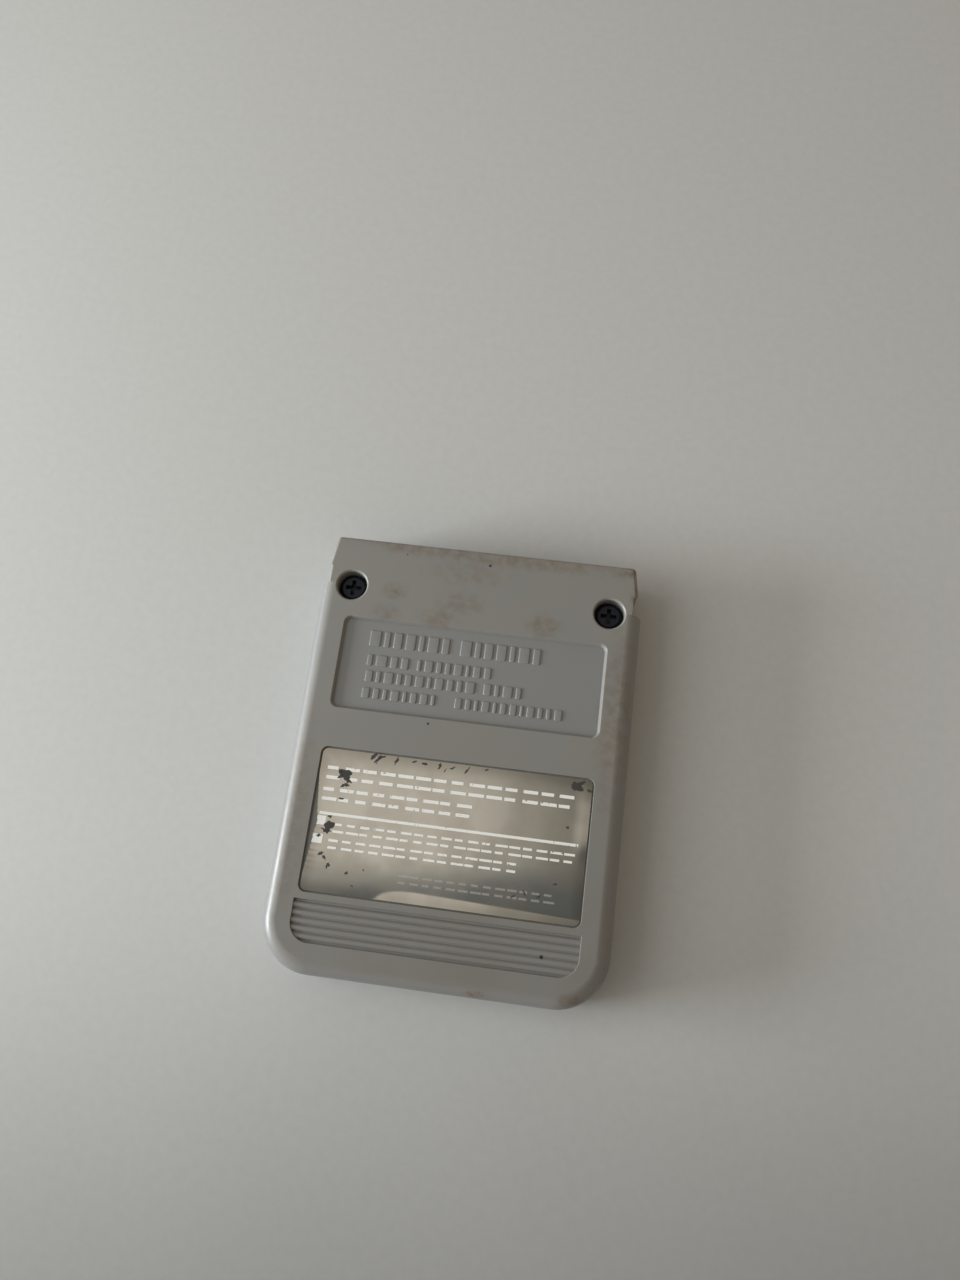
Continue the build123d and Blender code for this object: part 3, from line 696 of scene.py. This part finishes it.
def makeLabelSheet():
    # each row is a closed loop, over the face from left to right and back along the underside
    share = (1 - np.cos(np.linspace(0, np.pi, sheetLook["rows"]))) / 2
    y = labelLow[1] + (labelHigh[1] - labelLow[1]) * share
    corner = sheetLook["corner"]
    fromEnd = np.minimum(y - labelLow[1], labelHigh[1] - y)
    into = np.clip(corner - fromEnd, 0, corner)
    inset = corner - np.sqrt(corner ** 2 - into ** 2)
    left, right = leftEdge(y) + inset, labelHigh[0] - inset
    across = np.linspace(0, 1, sheetLook["columns"])
    x = left[:, None] + (right - left)[:, None] * across
    rows = np.broadcast_to(y[:, None], x.shape)
    rise = labelRise(x, rows)
    face = np.stack((x, rows, labelHigh[2] + rise), axis=-1)
    underside = np.stack((x, rows, labelLow[2] + rise), axis=-1)
    return closedStack(np.concatenate((face, underside[:, ::-1]), axis=1))


labelSheet = putPiece("labelSheet", *makeLabelSheet(), labelFoil, "label_foil")
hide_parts("rear_label")


# Flakes: dark places where the foil has come off, as thin ragged chips on the sheet

flakeLook = {
    "profile": ((1.0, -0.03), (1.0, 0.006), (0.85, 0.01)),  # share of the outline and lift
    "around": 44,
    "waves": (2, 10),
    "ragged": 0.27,
    "limits": (0.35, 1.7),
    "seed": 7,
    # place, half size and turn in degrees, along the top edge and then down both sides
    "flakes": (
        ((-10.4, -0.95), (0.55, 0.22), 50),
        ((-9.8, -1.2), (0.62, 0.20), 70),
        ((-9.3, -0.9), (0.40, 0.14), 20),
        ((-7.5, -1.15), (0.45, 0.17), 65),
        ((-5.3, -1.0), (0.26, 0.13), 30),
        ((-4.0, -1.1), (0.30, 0.18), 10),
        ((-2.1, -1.15), (0.42, 0.15), 75),
        ((-1.4, -1.6), (0.30, 0.06), 60),
        ((-0.5, -1.2), (0.34, 0.10), 25),
        ((1.3, -1.3), (0.44, 0.13), 55),
        ((3.7, -0.9), (0.26, 0.10), 5),
        ((-13.7, -3.5), (0.85, 0.50), 35),
        ((-13.5, -3.9), (0.80, 0.42), -45),
        ((-13.4, -4.9), (0.42, 0.26), 20),
        ((-13.6, -6.6), (0.28, 0.14), 10),
        ((-14.6, -8.9), (0.26, 0.16), 0),
        ((-14.5, -10.0), (0.62, 0.55), 40),
        ((-14.8, -10.6), (0.50, 0.30), -20),
        ((-15.6, -11.3), (0.28, 0.16), 15),
        ((-15.0, -13.4), (0.40, 0.16), 30),
        ((-14.5, -13.8), (0.30, 0.16), -50),
        ((-13.9, -14.7), (0.34, 0.20), 55),
        ((-11.5, -15.3), (0.22, 0.16), 60),
        ((-10.6, -16.7), (0.12, 0.10), 0),
        ((-9.5, -14.7), (0.10, 0.10), 0),
        ((15.0, -1.5), (0.78, 0.58), 20),
        ((16.5, -1.9), (0.26, 0.20), 0),
        ((14.3, -6.6), (0.18, 0.16), 0),
        ((13.5, -13.4), (0.20, 0.14), 25),
        ((11.7, -15.1), (0.24, 0.12), 60),
        ((10.0, -14.9), (0.30, 0.12), -50),
        ((8.7, -15.4), (0.36, 0.10), 40),
    ),
}


def makeFlakes():
    # rings of a star-like outline: one plus a few random waves, drawn in above the foil
    draw = np.random.default_rng(flakeLook["seed"])
    angle = np.linspace(0, 2 * np.pi, flakeLook["around"], endpoint=False)
    waves = np.arange(*flakeLook["waves"])[:, None]
    stacks = []
    for (x, y), half, turn in flakeLook["flakes"]:
        size = draw.normal(0, flakeLook["ragged"], waves.shape) / np.sqrt(waves)
        start = draw.uniform(0, 2 * np.pi, waves.shape)
        outline = 1 + (size * np.sin(waves * angle + start)).sum(axis=0)
        outline = np.clip(outline, *flakeLook["limits"])
        along, over = half[0] * outline * np.cos(angle), half[1] * outline * np.sin(angle)
        c, s = math.cos(math.radians(turn)), math.sin(math.radians(turn))
        rings = []
        for share, lift in flakeLook["profile"]:
            ringX = x + share * (c * along - s * over)
            ringY = y + share * (s * along + c * over)
            ringZ = labelHigh[2] + labelRise(ringX, ringY) + lift
            rings.append(np.stack((ringX, ringY, ringZ), axis=-1))
        stacks.append(closedStack(np.array(rings)))
    return joined(stacks)


putPiece("labelFlakes", *makeFlakes(), finishes["flakeDark"], "label_foil")


# Panel blocks: plain raised blocks in four rows on the floor of the recessed panel

panelLook = {
    "floorZ": 7.5,
    "corner": 0.22,
    "leastCorner": 0.02,
    "cornerSteps": 5,
    "profile": ((0.0, -0.03), (0.0, 0.02), (0.05, 0.09), (0.10, 0.115), (0.16, 0.12)),
    "gap": 0.42,
    "uneven": 0.25,
    "unevenTurn": 2.4,
    # height of the row, height and mean pitch of its blocks and the stretches that it covers
    "rows": (
        (14.2, 2.1, 1.55, ((-13.4, -3.0), (-1.6, 8.7))),
        (11.3, 1.5, 1.25, ((-13.3, -7.9), (-6.8, 2.7))),
        (9.2, 1.5, 1.25, ((-13.2, 0.9), (2.0, 6.8))),
        (7.0, 1.4, 1.15, ((-13.3, -3.9), (-1.4, 12.2))),
    ),
}


def roundedLoop(centre, half, corner, steps):
    # rounded rectangle, counter-clockwise: a quarter arc about each corner's centre
    turn = np.linspace(0, np.pi / 2, steps) + np.arange(4)[:, None] * np.pi / 2
    signX, signY = np.array((1, -1, -1, 1))[:, None], np.array((1, 1, -1, -1))[:, None]
    x = centre[0] + signX * (half[0] - corner) + corner * np.cos(turn)
    y = centre[1] + signY * (half[1] - corner) + corner * np.sin(turn)
    return x.ravel(), y.ravel()


def makePanelBlocks():
    # each stretch is shared out unevenly, and a rounded wall profile carried round each block
    stacks = []
    gap = panelLook["gap"]
    for height, tall, pitch, stretches in panelLook["rows"]:
        for start, end in stretches:
            count = round((end - start) / pitch)
            swing = np.sin(panelLook["unevenTurn"] * np.arange(count) + height)
            shares = 1 + panelLook["uneven"] * swing
            ends = start + (end + gap - start) * np.cumsum(np.append(0, shares)) / shares.sum()
            for left, right in zip(ends[:-1], ends[1:] - gap):
                rings = []
                for inset, rise in panelLook["profile"]:
                    half = ((right - left) / 2 - inset, tall / 2 - inset)
                    corner = max(panelLook["corner"] - inset, panelLook["leastCorner"])
                    centre = ((left + right) / 2, height)
                    x, y = roundedLoop(centre, half, corner, panelLook["cornerSteps"])
                    z = np.full_like(x, panelLook["floorZ"] + rise)
                    rings.append(np.stack((x, y, z), axis=-1))
                stacks.append(closedStack(np.array(rings)))
    return joined(stacks)


putPiece("panelBlocks", *makePanelBlocks(), coverPlastic, "cover_plastic")


# Floor, light, room and camera

stageLook = {
    "floorRadius": 400,
    "floorRings": 12,
    "floorAround": 96,
    "floorZ": -0.02,
    "floorColour": (0.60, 0.60, 0.585, 1),
    # colour at the painted-shade end of the floor, towards the viewer
    "floorShadedNear": (0.345, 0.345, 0.34, 1),
    "shadeFrom": -75,
    "shadeTo": 0,
    "shadeTilt": -0.15,
    "shadeUneven": 8.0,
    "widePerMm": 0.02,
    # painted shade beside the lamp, which holds down its bright pool on the floor
    "floorShadeByLamp": (0.09, 0.09, 0.088, 1),
    "byLampFrom": -280,
    "byLampTo": -75,
    "floorRoughness": 0.6,
    "floorGloss": 0.0,
    # faint noise of the table: per mm, detail and roughness
    "speckle": (0.8, 3.0, 0.6),
    "speckleSpan": (0.3, 0.7, 0.983, 1.017),
    # place, width and height, watts and colour of each lamp
    "lamps": {
        "windowLamp": ((-381, -66, 100), (170, 91), 1.60, (0.95, 1.0, 1.03)),
        "highLamp": ((-281, -40, 283), (300, 245), 0.38, (0.95, 1.0, 1.03)),
        "sillLamp": ((-300, 0, 24), (380, 40), 0.32, (0.95, 1.0, 1.04)),
    },
    "room": (0.44, 0.42, 0.38, 1),
    "roomWarm": (0.31, 0.24, 0.165, 1),
    "warmFrom": (-0.1, 0.8),
    # what the label mirrors: a ceiling that fades to the right, and a dark patch this side of it
    "ceilingFrom": (0.90, 0.97),
    "ceilingFade": (-0.10, 0.085),
    "ceilingLeft": (0.56, 0.53, 0.475, 1),
    "ceilingRight": (0.195, 0.182, 0.157, 1),
    "ceilingFar": (0.108, 0.145),
    "ceilingDim": 0.66,
    "patchFrom": (0.70, 0.92),
    "patchEdge": (0.025, 0.040),
    "patchTilt": -0.12,
    "patchLeft": (0.128, 0.134, 0.133, 1),
    "patchRight": (0.093, 0.097, 0.096, 1),
    "backdrop": (0.56, 0.56, 0.55, 1),
}


def makeFloor():
    # disc under the card, radius by angle, with painted shade: a little darker towards the viewer, and
    # darker beside the lamp to hold down the lamp's bright pool on the floor
    around = stageLook["floorAround"]
    radius = stageLook["floorRadius"] * np.linspace(0, 1, stageLook["floorRings"] + 1)[1:, None]
    turn = np.linspace(0, 2 * np.pi, around, endpoint=False)
    level = np.full((len(radius), around), stageLook["floorZ"])
    rings = np.stack((radius * np.cos(turn), radius * np.sin(turn), level), axis=-1)
    faces = gridQuads(len(rings), around, wrap=True)[:, ::-1].tolist() + [list(range(around))]
    material, tree, shader = newMaterial("tableWhite")
    place = placeInMm(tree)
    tone = putGroup(tree, grainGroup, {"Place": place, "Wide": stageLook["widePerMm"]})["Tone"]
    x, y = put(tree, "SeparateXYZ", {0: place}).outputs[:2]
    # painted shade: the floor darkens towards the viewer and to the right
    across = calc(tree, "MULTIPLY_ADD", x, stageLook["shadeTilt"], y)
    across = calc(tree, "MULTIPLY_ADD", tone, stageLook["shadeUneven"], across)
    shade = span(tree, across, stageLook["shadeFrom"], stageLook["shadeTo"])
    colour = blendColour(tree, shade, stageLook["floorShadedNear"], stageLook["floorColour"])
    # painted shade beside the lamp
    byLamp = span(tree, x, stageLook["byLampFrom"], stageLook["byLampTo"], 1.0, 0.0)
    colour = blendColour(tree, byLamp, colour, stageLook["floorShadeByLamp"])
    speckle = span(tree, noise(tree, place, *stageLook["speckle"]), *stageLook["speckleSpan"])
    tree.links.new(scaled(tree, colour, speckle), shader.inputs["Base Color"])
    shader.inputs["Roughness"].default_value = stageLook["floorRoughness"]
    shader.inputs["Specular IOR Level"].default_value = stageLook["floorGloss"]
    mesh = bpy.data.meshes.new("table")
    mesh.from_pydata((rings.reshape(-1, 3) * mm).tolist(), [], faces)
    mesh.materials.append(material)
    floor = bpy.data.objects.new("table", mesh)
    bpy.context.collection.objects.link(floor)


def makeLamps():
    # a window low on the left, a paler stretch of it higher up, and a strip along its sill
    for name, (at, size, watts, colour) in stageLook["lamps"].items():
        lamp = bpy.data.lights.new(name, "AREA")
        lamp.shape = "RECTANGLE"
        lamp.size, lamp.size_y = (side * mm for side in size)
        lamp.energy = watts
        lamp.color = colour
        holder = bpy.data.objects.new(name, lamp)
        holder.location = Vector(at) * mm
        holder.rotation_euler = (-holder.location).to_track_quat("-Z", "Y").to_euler()
        bpy.context.collection.objects.link(holder)


def makeRoom():
    # pale all round and warm on the right; overhead is what the label mirrors
    world = bpy.data.worlds.new("room")
    world.use_nodes = True
    bpy.context.scene.world = world
    tree = world.node_tree
    x, y, z = put(tree, "SeparateXYZ", {0: put(tree, "TexCoord", {}).outputs["Generated"]}).outputs
    warm = span(tree, x, *stageLook["warmFrom"])
    colour = blendColour(tree, warm, stageLook["room"], stageLook["roomWarm"])
    fade = span(tree, x, *stageLook["ceilingFade"])
    ceiling = blendColour(tree, fade, stageLook["ceilingLeft"], stageLook["ceilingRight"])
    dim = span(tree, y, *stageLook["ceilingFar"], 1.0, stageLook["ceilingDim"])
    above = span(tree, z, *stageLook["ceilingFrom"])
    colour = blendColour(tree, above, colour, scaled(tree, ceiling, dim))
    slant = calc(tree, "MULTIPLY_ADD", x, stageLook["patchTilt"], y)
    patch = calc(tree, "MULTIPLY", span(tree, slant, *stageLook["patchEdge"], 1.0, 0.0),
                 span(tree, z, *stageLook["patchFrom"]))
    dark = blendColour(tree, fade, stageLook["patchLeft"], stageLook["patchRight"])
    colour = blendColour(tree, patch, colour, dark)
    seen = put(tree, "LightPath", {}).outputs["Is Camera Ray"]
    colour = blendColour(tree, seen, colour, stageLook["backdrop"])
    tree.links.new(colour, tree.nodes["Background"].inputs["Color"])


cameraLook = {
    "eye": (8.92, -16.76, 124.78),
    "forward": (-0.0672, 0.2653, -0.9618),
    "up": (-0.1146, 0.9553, 0.2726),
    "lens": 26.72,
    "sensor": 36,
}


def makeCamera():
    camera = bpy.data.cameras.new("view")
    camera.lens = cameraLook["lens"]
    camera.sensor_width = cameraLook["sensor"]
    camera.clip_start = mm
    holder = bpy.data.objects.new("view", camera)
    back = -Vector(cameraLook["forward"]).normalized()
    right = Vector(cameraLook["up"]).cross(back).normalized()
    turn = Matrix((right, back.cross(right), back)).transposed()
    holder.matrix_world = Matrix.Translation(Vector(cameraLook["eye"]) * mm) @ turn.to_4x4()
    bpy.context.collection.objects.link(holder)
    bpy.context.scene.camera = holder


makeFloor()
makeLamps()
makeRoom()
makeCamera()
bpy.context.scene.view_settings.view_transform = "Standard"
print("stage set")
